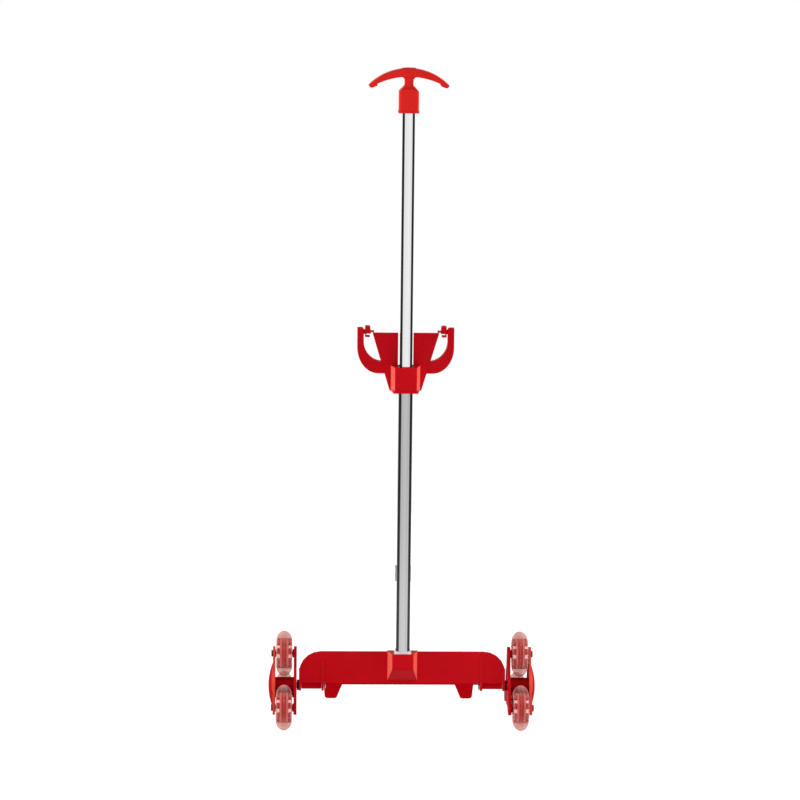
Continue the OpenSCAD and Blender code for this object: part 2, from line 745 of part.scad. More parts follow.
module deck_half() {
    block(-over, platform_w / 2, deck_start, platform_reach, deck_low, deck_top);
    block(platform_w / 2 - over, cheek_in - apart, deck_start, ear_end, deck_low, deck_top);
    block(-over, platform_w / 2, platform_reach - lip_t, platform_reach,
          deck_top - skirt_h, deck_top + lip_h);
    block(platform_w / 2 - skirt_t, platform_w / 2, skirt_start, platform_reach,
          deck_top - skirt_h, deck_top);
    for (x = [platform_w / 6, platform_w / 3])
        block(x - 1, x + 1, skirt_start, platform_reach - over, deck_top - skirt_h, deck_low + over);
    for (y = [skirt_start, (skirt_start + leg_front - leg_depth) / 2, leg_front - leg_depth - 1])
        block(-over, platform_w / 2 - over, y, y + 2, deck_top - skirt_h, deck_low + over);
    leg();
    bar_x(rib_out + apart, cheek_in - apart, 0, hub_z, knuckle_r);
    block(rib_out + apart, cheek_in - apart, 0, deck_start + over, deck_low, deck_top);
}

// Slots through the deck let water and dirt fall through
module deck_slots() for (x = [0, 1, 2], y = [0, 1])
    translate([platform_w / 12 + x * platform_w / 6, slot_y0 + y * slot_pitch, deck_low - over])
        linear_extrude(deck_t + 2 * over) union() {
            square([6, slot_l], center = true);
            for (s = [-1, 1]) translate([0, s * slot_l / 2]) circle(3);
        }

slot_l = 26;
slot_pitch = (leg_front - leg_depth - skirt_start) / 2;
slot_y0 = skirt_start + slot_pitch / 2;

module platform() color(red) placed() difference() {
    for (side = [LEFT, RIGHT]) on_side(side) deck_half();
    // Relief in the lip's edge, where it meets the pad of the catch
    block(-catch_w / 2 - over, catch_w / 2 + over, platform_reach - lip_t - over, platform_reach + over,
          deck_top + lip_h - lip_relief, deck_top + lip_h + over);
    for (side = [LEFT, RIGHT]) on_side(side) {
        bar_x(rib_in, cheek_out, 0, hub_z, axle_r + run_gap);
        deck_slots();
    }
}

// ---- Wheel clusters ------------------------------------------------------

// A place on a cluster: children are drawn with the hub on the X axis
module at_hub(side) placed() on_side(side) translate([0, 0, hub_z]) children();

module at_wheel(side, angle)
    at_hub(side) translate([0, cluster_arm * cos(angle), cluster_arm * sin(angle)]) children();

arm_flare = 8;
barrel_wall = 6.5;
bolt_boss_wall = 2.5;
nut_wall = 2;
clip_room = 2.6;

module star_outline() {
    circle(cluster_arm * 0.6);
    for (a = [TOP, FRONT, REAR]) rotate(a) {
        translate([cluster_arm, 0]) circle(lobe_r);
        polygon([[0, -lobe_r - arm_flare], [cluster_arm, -lobe_r],
                 [cluster_arm, lobe_r], [0, lobe_r + arm_flare]]);
    }
}

barrel_r = axle_r + barrel_wall;
bolt_boss_r = bolt_r + bolt_boss_wall;
nut_r = bolt_r + nut_wall;
nut_t = 2.6;

module bolt_holes(x0, x1) for (a = [TOP, FRONT, REAR])
    bar_x(x0, x1, cluster_arm * cos(a), cluster_arm * sin(a), bolt_r);

module carrier_inner(side) color(red) at_hub(side) difference() {
    union() {
        along_x(plate_in, plate_in_out) star_outline();
        bar_x(plate_in, wheel_mid, 0, 0, barrel_r);
        for (a = [TOP, FRONT, REAR])
            bar_x(plate_in, wheel_in - apart, cluster_arm * cos(a), cluster_arm * sin(a), bolt_boss_r);
    }
    bar_x(plate_in - over, wheel_mid + over, 0, 0, axle_r + run_gap);
    bolt_holes(plate_in - over, wheel_in);
    for (a = [TOP, FRONT, REAR])
        translate([plate_in - over, cluster_arm * cos(a), cluster_arm * sin(a)])
            rotate([0, 90, 0]) cylinder(r = nut_r, h = nut_t + over, $fn = 6);
}

dome_base_r = cluster_arm * 0.7;
dome_sphere_r = (dome_base_r * dome_base_r + dome_h * dome_h) / (2 * dome_h);

module carrier_outer(side) color(red) at_hub(side) difference() {
    union() {
        along_x(plate_out, plate_out_out) star_outline();
        intersection() {
            along_x(plate_out, plate_out_out + dome_h) star_outline();
            translate([plate_out_out + dome_h - dome_sphere_r, 0, 0]) rotate([0, 90, 0])
                sphere(dome_sphere_r, $fn = 128);
        }
        bar_x(wheel_mid, plate_out_out, 0, 0, barrel_r);
        for (a = [TOP, FRONT, REAR])
            bar_x(wheel_out + apart, plate_out_out, cluster_arm * cos(a), cluster_arm * sin(a), bolt_boss_r);
    }
    bar_x(wheel_mid - over, plate_out_out, 0, 0, axle_r + run_gap);
    bar_x(plate_out_out - over, axle_out + 0.6, 0, 0, axle_r + clip_room);
    bolt_holes(wheel_out, plate_out_out + dome_h);
}

module wheel_bolts(side) color(black) at_hub(side) {
    bolt_holes(plate_in, plate_out_out);
    for (a = [TOP, FRONT, REAR])
        bar_x(plate_out_out, plate_out_out + bolt_head_t,
              cluster_arm * cos(a), cluster_arm * sin(a), bolt_r + 1.4);
}

module wheel_nuts(side) color(steel) at_hub(side)
    for (a = [TOP, FRONT, REAR]) translate([plate_in + 0.4, cluster_arm * cos(a), cluster_arm * sin(a)])
        rotate([0, 90, 0]) difference() {
            cylinder(r = nut_r, h = nut_t - 0.4, $fn = 6);
            translate([0, 0, -over]) cylinder(r = bolt_r, h = nut_t + 2 * over);
        }

// Wheel, drawn about the Z axis and centred on it. The core's band has two
// grooves round it and a row of lugs along each side.
rim_r = wheel_r - tyre_depth;
rim_w = wheel_w * 0.54;
lug_reach = wheel_w * 0.455;
lug_depth = 4.5;
lug_drop = 0.5;
bead_depth = 4;
bead_bevel = 1;
wheel_hub_wall = 5.5;
lug_in_r = rim_r - lug_depth;
lug_out_r = rim_r - lug_drop;
bead_r = rim_r - bead_depth;
wheel_hub_r = bolt_r + wheel_hub_wall;
web_step = 2;
dish_rim = 1.5;
band_groove_w = wheel_w * 0.08;
band_groove_x = wheel_w * 0.1;
band_groove_t = 0.8;
tread_r = tyre_depth * 1.4;

module core_solid() {
    difference() {
        translate([0, 0, -rim_w / 2]) cylinder(r = rim_r, h = rim_w);
        for (s = [-1, 1]) translate([0, 0, s * band_groove_x - band_groove_w / 2]) difference() {
            cylinder(r = rim_r + over, h = band_groove_w);
            translate([0, 0, -over]) cylinder(r = rim_r - band_groove_t, h = band_groove_w + 2 * over);
        }
    }
    translate([0, 0, -wheel_w / 2]) cylinder(r = wheel_hub_r, h = wheel_w);
    for (i = [0 : lug_count - 1]) rotate(360 / lug_count * (i + 0.5))
        translate([lug_in_r, -lug_w / 2, -lug_reach])
            cube([lug_out_r - lug_in_r, lug_w, 2 * lug_reach]);
}

module core(side, angle) color(red) at_wheel(side, angle)
    translate([wheel_mid, 0, 0]) rotate([0, 90, 0]) difference() {
        core_solid();
        translate([0, 0, -wheel_w]) cylinder(r = bolt_r + run_gap, h = 2 * wheel_w);
        // A shallow dish on each face leaves a rim, a web and the hub
        for (s = [0, 1]) mirror([0, 0, s]) translate([0, 0, web_step]) difference() {
            cylinder(r = lug_in_r - dish_rim, h = wheel_w);
            translate([0, 0, -over]) cylinder(r = wheel_hub_r, h = 2 * wheel_w);
        }
    }

module tyre(side, angle) color(clear_pu) at_wheel(side, angle)
    translate([wheel_mid, 0, 0]) rotate([0, 90, 0]) difference() {
        rotate_extrude($fn = 96) polygon(concat(
            [[rim_r - band_groove_t, -rim_w / 2], [bead_r, -rim_w / 2], [bead_r, -wheel_w / 2 + bead_bevel]],
            ellipse_arc([wheel_r - tread_r, 0], tread_r, wheel_w / 2, -86, 86, 20),
            [[bead_r, wheel_w / 2 - bead_bevel], [bead_r, rim_w / 2], [rim_r - band_groove_t, rim_w / 2]]));
        core_solid();
    }

// ---- Nodes ---------------------------------------------------------------

base_bracket();
left_axle();
right_axle();
axle_clips();
hub_spacers();
outer_tube();
tube_ferrule();
guide_bush();
platform_catch();
bag_bracket();
tube_screws();
gate_pins();
left_gate();
right_gate();
inner_tube();
grip();
grip_screw();
lock_housing();
button();
push_rod();
button_spring();
lock_pin();
pin_spring();
platform();
carrier_inner(LEFT);  // left_carrier_inner
carrier_outer(LEFT);  // left_carrier_outer
wheel_bolts(LEFT);  // left_wheel_bolts
wheel_nuts(LEFT);  // left_wheel_nuts
carrier_inner(RIGHT);  // right_carrier_inner
carrier_outer(RIGHT);  // right_carrier_outer
wheel_bolts(RIGHT);  // right_wheel_bolts
wheel_nuts(RIGHT);  // right_wheel_nuts
tyre(LEFT, TOP);  // left_top_tyre
core(LEFT, TOP);  // left_top_core
tyre(LEFT, FRONT);  // left_front_tyre
core(LEFT, FRONT);  // left_front_core
tyre(LEFT, REAR);  // left_rear_tyre
core(LEFT, REAR);  // left_rear_core
tyre(RIGHT, TOP);  // right_top_tyre
core(RIGHT, TOP);  // right_top_core
tyre(RIGHT, FRONT);  // right_front_tyre
core(RIGHT, FRONT);  // right_front_core
tyre(RIGHT, REAR);  // right_rear_tyre
core(RIGHT, REAR);  // right_rear_core
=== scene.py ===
# Looks of the school bag trolley: finishes, softened moulded edges, studio and camera.
# Metres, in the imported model's own frame: +Z up, -Y towards the person pulling it.
from math import cos, radians, sin

import bmesh
import bpy
from mathutils import Matrix, Vector
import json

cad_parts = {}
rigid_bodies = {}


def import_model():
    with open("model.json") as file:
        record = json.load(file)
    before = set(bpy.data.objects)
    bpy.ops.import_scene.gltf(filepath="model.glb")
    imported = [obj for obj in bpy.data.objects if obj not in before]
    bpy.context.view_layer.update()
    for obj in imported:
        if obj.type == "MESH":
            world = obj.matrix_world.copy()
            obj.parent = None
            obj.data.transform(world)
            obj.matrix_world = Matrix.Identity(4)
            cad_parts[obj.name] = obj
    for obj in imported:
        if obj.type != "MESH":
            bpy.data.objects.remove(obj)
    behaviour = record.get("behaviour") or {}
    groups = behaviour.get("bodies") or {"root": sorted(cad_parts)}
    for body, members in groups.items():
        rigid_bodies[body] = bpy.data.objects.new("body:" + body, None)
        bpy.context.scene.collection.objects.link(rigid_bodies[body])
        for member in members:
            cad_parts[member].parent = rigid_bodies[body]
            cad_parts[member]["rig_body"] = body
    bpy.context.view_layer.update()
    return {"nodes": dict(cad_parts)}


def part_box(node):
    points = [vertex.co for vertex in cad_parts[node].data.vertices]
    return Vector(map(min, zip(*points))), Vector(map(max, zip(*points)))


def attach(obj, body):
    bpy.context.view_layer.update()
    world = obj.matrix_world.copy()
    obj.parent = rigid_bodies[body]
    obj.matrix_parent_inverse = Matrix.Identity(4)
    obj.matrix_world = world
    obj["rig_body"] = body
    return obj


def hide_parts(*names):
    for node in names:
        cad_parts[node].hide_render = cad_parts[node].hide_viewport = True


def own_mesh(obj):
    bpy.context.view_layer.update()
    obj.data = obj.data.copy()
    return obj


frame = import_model()
nodes = frame["nodes"]

SIDES = ("left", "right")
PLACES = ("top", "front", "rear")


# ---- Places read from the CAD nodes ----------------------------------------------

def pole_centre():
    low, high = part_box("outer_tube")
    return (low + high) / 2


def wheel_middle():
    """The distance of the wheels' middle from the pole's, to either side."""
    low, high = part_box("right_top_tyre")
    return (low.x + high.x) / 2


# ---- Shader helpers --------------------------------------------------------------

def new_material(name):
    material = bpy.data.materials.new(name)
    material.use_nodes = True
    tree = material.node_tree
    shader = tree.nodes["Principled BSDF"]
    return material, tree, shader


def surface(tree, output):
    tree.links.new(output, tree.nodes["Material Output"].inputs["Surface"])


def body_finish(shader, roughness, specular=0.0):
    shader.inputs["Roughness"].default_value = roughness
    shader.inputs["Specular IOR Level"].default_value = specular


def maths(tree, operation, *values):
    """A math node's result. Each value is a number or another node's output."""
    node = tree.nodes.new("ShaderNodeMath")
    node.operation = operation
    for socket, value in zip(node.inputs, values):
        if isinstance(value, (int, float)):
            socket.default_value = value
        else:
            tree.links.new(value, socket)
    return node.outputs["Value"]


def ramp(tree, value, low, high, start=0.3, end=0.7):
    """A value from low to high, as the input goes from start to end."""
    node = tree.nodes.new("ShaderNodeMapRange")
    node.inputs["From Min"].default_value = start
    node.inputs["From Max"].default_value = end
    node.inputs["To Min"].default_value = low
    node.inputs["To Max"].default_value = high
    tree.links.new(value, node.inputs["Value"])
    return node.outputs["Result"]


def object_noise(tree, scale, detail=3.0, stretch=(1, 1, 1)):
    """Noise with so many cycles to the metre."""
    coordinates = tree.nodes.new("ShaderNodeTexCoord")
    mapping = tree.nodes.new("ShaderNodeMapping")
    mapping.inputs["Scale"].default_value = stretch
    noise = tree.nodes.new("ShaderNodeTexNoise")
    noise.inputs["Scale"].default_value = scale
    noise.inputs["Detail"].default_value = detail
    tree.links.new(coordinates.outputs["Object"], mapping.inputs["Vector"])
    tree.links.new(mapping.outputs["Vector"], noise.inputs["Vector"])
    return noise.outputs["Fac"]


def across(tree, kind):
    """The left to right part of an object's coordinate: its Object place or its Normal."""
    coordinates = tree.nodes.new("ShaderNodeTexCoord")
    axes = tree.nodes.new("ShaderNodeSeparateXYZ")
    tree.links.new(coordinates.outputs[kind], axes.inputs["Vector"])
    return axes.outputs["X"]


def sideways(tree, start, end):
    """0 on faces that look forward, back, up or down, 1 on those that look to the sides."""
    return ramp(tree, maths(tree, "ABSOLUTE", across(tree, "Normal")), 0.0, 1.0, start, end)


def grazing(tree, power, most, least=0.0):
    """A share that rises from least to most as a surface, seen from either side, turns edge on."""
    weight = tree.nodes.new("ShaderNodeLayerWeight")
    weight.inputs["Blend"].default_value = 0.5
    curve = maths(tree, "POWER", weight.outputs["Facing"], power)
    return ramp(tree, curve, least, most, 0.0, 1.0)


def mixed_colours(tree, share, first, second):
    """A mix of two colours. Each is a tuple or another node's output."""
    node = tree.nodes.new("ShaderNodeMix")
    node.data_type = "RGBA"
    tree.links.new(share, node.inputs["Factor"])
    for socket, colour in (("A", first), ("B", second)):
        if isinstance(colour, tuple):
            node.inputs[socket].default_value = (*colour, 1)
        else:
            tree.links.new(colour, node.inputs[socket])
    return node.outputs["Result"]


def mixed_shaders(tree, share, first, second):
    mix = tree.nodes.new("ShaderNodeMixShader")
    tree.links.new(share, mix.inputs["Fac"])
    tree.links.new(first, mix.inputs[1])
    tree.links.new(second, mix.inputs[2])
    return mix.outputs["Shader"]


def bump(tree, shader, height, strength, depth):
    node = tree.nodes.new("ShaderNodeBump")
    node.inputs["Strength"].default_value = strength
    node.inputs["Distance"].default_value = depth
    tree.links.new(height, node.inputs["Height"])
    tree.links.new(node.outputs["Normal"], shader.inputs["Normal"])


SCUFF_SCALE = 90.0
SCUFF_LEAST = 0.8
SCUFF_MOST = 1.3


def polished(tree, body, share, roughness):
    """A clear white gloss over a body shader."""
    gloss = tree.nodes.new("ShaderNodeBsdfGlossy")
    gloss.inputs["Color"].default_value = (1, 1, 1, 1)
    scuffs = object_noise(tree, SCUFF_SCALE)
    tree.links.new(ramp(tree, scuffs, roughness * SCUFF_LEAST, roughness * SCUFF_MOST),
                   gloss.inputs["Roughness"])
    surface(tree, mixed_shaders(tree, share, body, gloss.outputs["BSDF"]))


# ---- Moulded plastic -------------------------------------------------------------

FLOW_SCALE = 14.0
FLOW_STRETCH = (1, 1, 0.5)
GRAIN_SCALE = 2600.0
GRAIN_STRENGTH = 0.05
GRAIN_DEPTH = 0.0002
PLASTIC_ROUGHNESS = 0.6
SHEEN_POWER = 4.0


def moulded_plastic(name, dark, light, gloss, sheen, flank=None, flank_from=(0.75, 0.96)):
    """Moulded plastic: flow marks in the colour, uneven gloss, fine grain, a bright sheen edge on.

    The flank is the colour that shows on faces turned to the sides: on the red brackets a salmon
    painted highlight for the side lamps' light, on the dome its darker red.
    """
    material, tree, shader = new_material(name)
    flow = ramp(tree, object_noise(tree, FLOW_SCALE, stretch=FLOW_STRETCH), 0.0, 1.0)
    colour = mixed_colours(tree, flow, dark, light)
    if flank:
        colour = mixed_colours(tree, sideways(tree, *flank_from), colour, flank)
    tree.links.new(colour, shader.inputs["Base Color"])
    body_finish(shader, PLASTIC_ROUGHNESS)
    bump(tree, shader, object_noise(tree, GRAIN_SCALE), GRAIN_STRENGTH, GRAIN_DEPTH)
    polished(tree, shader.outputs["BSDF"], grazing(tree, SHEEN_POWER, sheen), gloss)
    return material


# ---- Tubes -----------------------------------------------------------------------

DIE_LINE_SCALE = 420.0
DIE_LINE_DETAIL = 4.0
DIE_LINE_STRETCH = (1, 1, 0.004)
DIE_LINE_STRENGTH = 0.02
DIE_LINE_DEPTH = 0.0001
BROAD_BAND_SCALE = 60.0
BROAD_BAND_STRETCH = (1, 1, 0.02)
TONE_START = 0.7
TONE_END = 1.3
ALLOY_SMOOTHER = 0.02
ALLOY_ROUGHER = 0.04
CORNER_START = (0.15, 0.35)
CORNER_END = (0.985, 0.93)
# Painted reflection: near black on the tubes' rounded corners, for the dark room that they reflect
CORNER_PAINTED_REFLECTION = (0.05, 0.05, 0.05)


def rounded_corners(tree):
    """1 on the rounded corners of an upright square tube, 0 on its flat sides."""
    return maths(tree, "MULTIPLY", sideways(tree, *CORNER_START), sideways(tree, *CORNER_END))


def extruded_alloy(name, dark, light, roughness):
    """Drawn aluminium with a painted dark reflection on its rounded corners: die lines along the
    tube vary its tone and gloss.
    """
    material, tree, shader = new_material(name)
    lines = object_noise(tree, DIE_LINE_SCALE, DIE_LINE_DETAIL, DIE_LINE_STRETCH)
    bands = object_noise(tree, BROAD_BAND_SCALE, stretch=BROAD_BAND_STRETCH)
    tone = ramp(tree, maths(tree, "ADD", lines, bands), 0.0, 1.0, TONE_START, TONE_END)
    flats = mixed_colours(tree, tone, dark, light)
    tree.links.new(mixed_colours(tree, rounded_corners(tree), flats, CORNER_PAINTED_REFLECTION),
                   shader.inputs["Base Color"])
    tree.links.new(ramp(tree, lines, roughness - ALLOY_SMOOTHER, roughness + ALLOY_ROUGHER),
                   shader.inputs["Roughness"])
    shader.inputs["Metallic"].default_value = 1.0
    bump(tree, shader, lines, DIE_LINE_STRENGTH, DIE_LINE_DEPTH)
    return material


# ---- Small metal pieces ----------------------------------------------------------

TURNED_SCALE = 900.0
TURNED_STRETCH = (0.1, 1, 1)
TURNED_SHADE = 0.8
TURNED_SMOOTHER = 0.06
TURNED_ROUGHER = 0.08


def plain_metal(name, colour, roughness):
    """Turned or drawn metal, with fine marks across its length."""
    material, tree, shader = new_material(name)
    marks = object_noise(tree, TURNED_SCALE, stretch=TURNED_STRETCH)
    dark = tuple(TURNED_SHADE * channel for channel in colour)
    tree.links.new(mixed_colours(tree, marks, dark, colour), shader.inputs["Base Color"])
    tree.links.new(ramp(tree, marks, roughness - TURNED_SMOOTHER, roughness + TURNED_ROUGHER),
                   shader.inputs["Roughness"])
    shader.inputs["Metallic"].default_value = 1.0
    return material


# ---- Tyres -----------------------------------------------------------------------

TYRE_CLOUD_SCALE = 140.0
TYRE_TINT = (0.98, 0.96, 0.95)
TYRE_OUTLINE = (0.50, 0.07, 0.08)
TYRE_DEPTH_TINT = (0.66, 0.29, 0.21)
TYRE_DEPTH_DENSITY = 50.0
TYRE_HAZE_DARK = (0.82, 0.36, 0.32)
TYRE_HAZE_LIGHT = (0.92, 0.50, 0.45)
TYRE_HAZE_ROUGHNESS = 0.5
TYRE_GLOSS_ROUGHNESS = 0.10
TREAD_HAZE = {"power": 1.5, "most": 0.75}
TREAD_REACH = (0.80, 0.35)
EDGE_HAZE = {"power": 3.0, "most": 0.40, "least": 0.01}
OUTLINE_SHARE = {"power": 5.0, "most": 0.70}
TYRE_GLOSS_SHARE = {"power": 4.0, "most": 0.05, "least": 0.012}


def clear_polyurethane(name):
    """Clear, faintly pink tyre: see-through, hazy on its tread and edge on, with a wet gloss."""
    material, tree, shader = new_material(name)
    cloud = object_noise(tree, TYRE_CLOUD_SCALE)
    tree.links.new(mixed_colours(tree, cloud, TYRE_HAZE_DARK, TYRE_HAZE_LIGHT),
                   shader.inputs["Base Color"])
    body_finish(shader, TYRE_HAZE_ROUGHNESS)
    see_through = tree.nodes.new("ShaderNodeBsdfTransparent")
    see_through.inputs["Color"].default_value = (*TYRE_TINT, 1)
    outline = tree.nodes.new("ShaderNodeBsdfDiffuse")
    outline.inputs["Color"].default_value = (*TYRE_OUTLINE, 1)
    tread = maths(tree, "MULTIPLY", grazing(tree, **TREAD_HAZE), sideways(tree, *TREAD_REACH))
    haze = maths(tree, "MAXIMUM", tread, grazing(tree, **EDGE_HAZE))
    body = mixed_shaders(tree, haze, see_through.outputs["BSDF"], shader.outputs["BSDF"])
    body = mixed_shaders(tree, grazing(tree, **OUTLINE_SHARE), body, outline.outputs["BSDF"])
    polished(tree, body, grazing(tree, **TYRE_GLOSS_SHARE), TYRE_GLOSS_ROUGHNESS)
    depth = tree.nodes.new("ShaderNodeVolumeAbsorption")
    depth.inputs["Color"].default_value = (*TYRE_DEPTH_TINT, 1)
    depth.inputs["Density"].default_value = TYRE_DEPTH_DENSITY
    tree.links.new(depth.outputs["Volume"], tree.nodes["Material Output"].inputs["Volume"])
    return material


# ---- Wheel cores -----------------------------------------------------------------

WHEEL_HALF_WIDTH = 0.0107
CORE_WEAR = (0.60, 0.04, 0.04)
CORE_WEAR_SCALE = 90.0
CORE_WEAR_MOST = 0.35
CORE_ROUGHNESS = 0.35
CORE_SPECULAR = 0.1
CORE_GRAIN_SCALE = 1800.0
# Painted shade: the darker red in the core's two grooves
CORE_GROOVE_SHADE = (0.44, 0.006, 0.012)
CORE_LUG = (0.36, 0.006, 0.014)

# Colours by the distance from the wheel's middle; the pale colours from 3.2 to 5.5 mm are painted
# highlights on the shoulders, and the groove colour is painted shade
CORE_COLOURS_AND_PAINTED_LIGHT = (
    (0.0000, (0.62, 0.040, 0.042)),
    (0.0012, (0.68, 0.055, 0.055)),
    (0.0017, CORE_GROOVE_SHADE),
    (0.0025, CORE_GROOVE_SHADE),
    # Painted highlight: pale bands on the shoulders, for the streaks of light along the tyre
    (0.0032, (0.82, 0.210, 0.190)),
    (0.0046, (0.86, 0.330, 0.300)),
    (0.0055, (0.76, 0.130, 0.120)),
    (0.0060, CORE_LUG),
)


def banded_core(name):
    """Moulded core: red middle, painted shade in its two grooves, pale painted highlights on its
    shoulders and dark lugs.
    """
    material, tree, shader = new_material(name)
    from_pole = maths(tree, "ABSOLUTE", across(tree, "Object"))
    offset = maths(tree, "SUBTRACT", from_pole, wheel_middle())
    share = maths(tree, "DIVIDE", maths(tree, "ABSOLUTE", offset), WHEEL_HALF_WIDTH)
    bands = tree.nodes.new("ShaderNodeValToRGB")
    stops = bands.color_ramp.elements
    stops[0].color = (*CORE_COLOURS_AND_PAINTED_LIGHT[0][1], 1)
    stops[1].color = (*CORE_LUG, 1)
    for distance, colour in CORE_COLOURS_AND_PAINTED_LIGHT[1:]:
        stop = stops.new(distance / WHEEL_HALF_WIDTH)
        stop.color = (*colour, 1)
    tree.links.new(share, bands.inputs["Fac"])
    wear = ramp(tree, object_noise(tree, CORE_WEAR_SCALE), 0.0, CORE_WEAR_MOST)
    tree.links.new(mixed_colours(tree, wear, bands.outputs["Color"], CORE_WEAR),
                   shader.inputs["Base Color"])
    body_finish(shader, CORE_ROUGHNESS, CORE_SPECULAR)
    bump(tree, shader, object_noise(tree, CORE_GRAIN_SCALE), GRAIN_STRENGTH, GRAIN_DEPTH)
    return material


# ---- Ferrule ---------------------------------------------------------------------

FERRULE_CLOUD_SCALE = 200.0
FERRULE_DARK = (0.50, 0.49, 0.49)
FERRULE_LIGHT = (0.62, 0.61, 0.61)
FERRULE_ROUGHNESS = 0.3
FERRULE_MILKINESS = 0.3
FERRULE_DEPTH = 0.002


def milky_plastic(name):
    """Translucent white plastic."""
    material, tree, shader = new_material(name)
    cloud = object_noise(tree, FERRULE_CLOUD_SCALE)
    tree.links.new(mixed_colours(tree, cloud, FERRULE_DARK, FERRULE_LIGHT),
                   shader.inputs["Base Color"])
    shader.inputs["Roughness"].default_value = FERRULE_ROUGHNESS
    shader.inputs["Subsurface Weight"].default_value = FERRULE_MILKINESS
    shader.inputs["Subsurface Scale"].default_value = FERRULE_DEPTH
    return material


# ---- The looks -------------------------------------------------------------------

RED_DARK = (0.395, 0.0034, 0.0074)
RED_LIGHT = (0.440, 0.0050, 0.0094)
STEEL = (0.60, 0.60, 0.61)

PLASTICS = {
    # The red plastic's salmon flank colour is painted side light and highlight on faces turned to
    # the sides
    "red_plastic": {"dark": RED_DARK, "light": RED_LIGHT, "gloss": 0.15, "sheen": 0.12,
                    "flank": (0.58, 0.085, 0.058)},
    # Painted light: the platform's red is lighter than the brackets', offsetting the shade that
    # falls on its feet under the deck
    "platform_plastic": {"dark": (0.48, 0.0018, 0.0062), "light": (0.54, 0.0028, 0.0082),
                         "gloss": 0.15, "sheen": 0.2},
    "cluster_plastic": {"dark": RED_DARK, "light": RED_LIGHT, "gloss": 0.15, "sheen": 0.05},
    # The outer plate's front-facing rim beyond the wheels is painted pale, a painted highlight;
    # faces turned to the sides take the dome's darker red
    "dome_plastic": {"dark": (0.54, 0.045, 0.030), "light": (0.62, 0.060, 0.042), "gloss": 0.15,
                     "sheen": 0.03, "flank": (0.27, 0.0008, 0.0016), "flank_from": (0.5, 0.9)},
    "grip_plastic": {"dark": (0.52, 0.014, 0.011), "light": (0.58, 0.019, 0.015), "gloss": 0.20,
                     "sheen": 0.18},
    "black_plastic": {"dark": (0.010, 0.010, 0.011), "light": (0.018, 0.018, 0.019), "gloss": 0.3,
                      "sheen": 0.2},
    # Painted glint: near white on the bore between the lugs, for light that the clear tyre throws
    # back there
    "tyre_bore": {"dark": (0.95, 0.92, 0.91), "light": (0.99, 0.97, 0.96), "gloss": 0.3,
                  "sheen": 0.1},
}
ALLOYS = {
    # Painted shade: the outer, lower tube has a darker alloy colour than the inner, for the dimmer
    # reflection that it shows
    "outer_alloy": {"dark": (0.42, 0.42, 0.425), "light": (0.55, 0.55, 0.56), "roughness": 0.20},
    "inner_alloy": {"dark": (0.77, 0.77, 0.78), "light": (0.91, 0.91, 0.93), "roughness": 0.16},
}
METALS = {
    "steel": {"colour": STEEL, "roughness": 0.30},
    "spring_steel": {"colour": STEEL, "roughness": 0.30},
    "black_steel": {"colour": (0.035, 0.035, 0.038), "roughness": 0.38},
}

looks = {
    "wheel_core": banded_core("wheel_core"),
    "clear_tyre": clear_polyurethane("clear_tyre"),
    "ferrule": milky_plastic("ferrule"),
}
for make, table in ((moulded_plastic, PLASTICS), (extruded_alloy, ALLOYS), (plain_metal, METALS)):
    for look, values in table.items():
        looks[look] = make(look, **values)


def dress(piece, look):
    piece.data.materials.clear()
    piece.data.materials.append(looks[look])


def second_finish(piece, look, belongs):
    """Another finish on the faces for which belongs(face) is true."""
    piece.data.materials.append(looks[look])
    for face in piece.data.polygons:
        if belongs(face):
            face.material_index = 1


# ---- Softened copies in place of CAD nodes ---------------------------------------

SAME_PLACE = 1e-6
FLAT_ANGLE = 1.0
SHARP_ANGLE = 32
BEVEL_ANGLE = 35
FACE_AREA_WEIGHT = 100


def baked(piece):
    """The piece's modifiers become its mesh."""
    graph = bpy.context.evaluated_depsgraph_get()
    final = bpy.data.meshes.new_from_object(piece.evaluated_get(graph))
    piece.modifiers.clear()
    piece.data = final


def smooth_shaded(piece):
    """Round faces shade round and flat faces stay flat, right up to their rounded edges."""
    for face in piece.data.polygons:
        face.use_smooth = True
    piece.data.set_sharp_from_angle(angle=radians(SHARP_ANGLE))
    even = piece.modifiers.new("shading", "WEIGHTED_NORMAL")
    even.mode = "FACE_AREA"
    even.weight = FACE_AREA_WEIGHT
    even.keep_sharp = True
    baked(piece)


def rounded_edges(piece, width, segments):
    edges = piece.modifiers.new("edges", "BEVEL")
    edges.width = width
    edges.segments = segments
    edges.limit_method = "ANGLE"
    edges.angle_limit = radians(BEVEL_ANGLE)
    edges.use_clamp_overlap = True
    baked(piece)


def cleaned_mesh(source):
    """A copy of a mesh whose flat faces are whole, not in triangles."""
    mesh = source.copy()
    shape = bmesh.new()
    shape.from_mesh(mesh)
    bmesh.ops.remove_doubles(shape, verts=shape.verts, dist=SAME_PLACE)
    bmesh.ops.dissolve_limit(shape, angle_limit=radians(FLAT_ANGLE), verts=shape.verts,
                             edges=shape.edges)
    shape.to_mesh(mesh)
    shape.free()
    return mesh


def softened(node, look, width=0.0, segments=3):
    """A copy of a piece, with a small radius along its sharp edges, in place of its CAD node."""
    source = nodes[node]
    piece = bpy.data.objects.new(f"{node}_moulding", cleaned_mesh(source.data))
    bpy.context.scene.collection.objects.link(piece)
    if width:
        rounded_edges(piece, width, segments)
    smooth_shaded(piece)
    dress(piece, look)
    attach(piece, source["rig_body"])
    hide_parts(node)
    return piece


# ---- Brackets, platform, grip and tubes ------------------------------------------

# The look of each copy, the radius along its edges and the steps round it
LARGE_PIECES = {
    "base_bracket": ("red_plastic", 0.0010, 3),
    "bag_bracket": ("red_plastic", 0.0010, 3),
    "platform": ("platform_plastic", 0.0005, 2),
    "grip": ("grip_plastic", 0.0008, 3),
    "button": ("grip_plastic", 0.0005, 3),
    "outer_tube": ("outer_alloy",),
    "inner_tube": ("inner_alloy",),
}

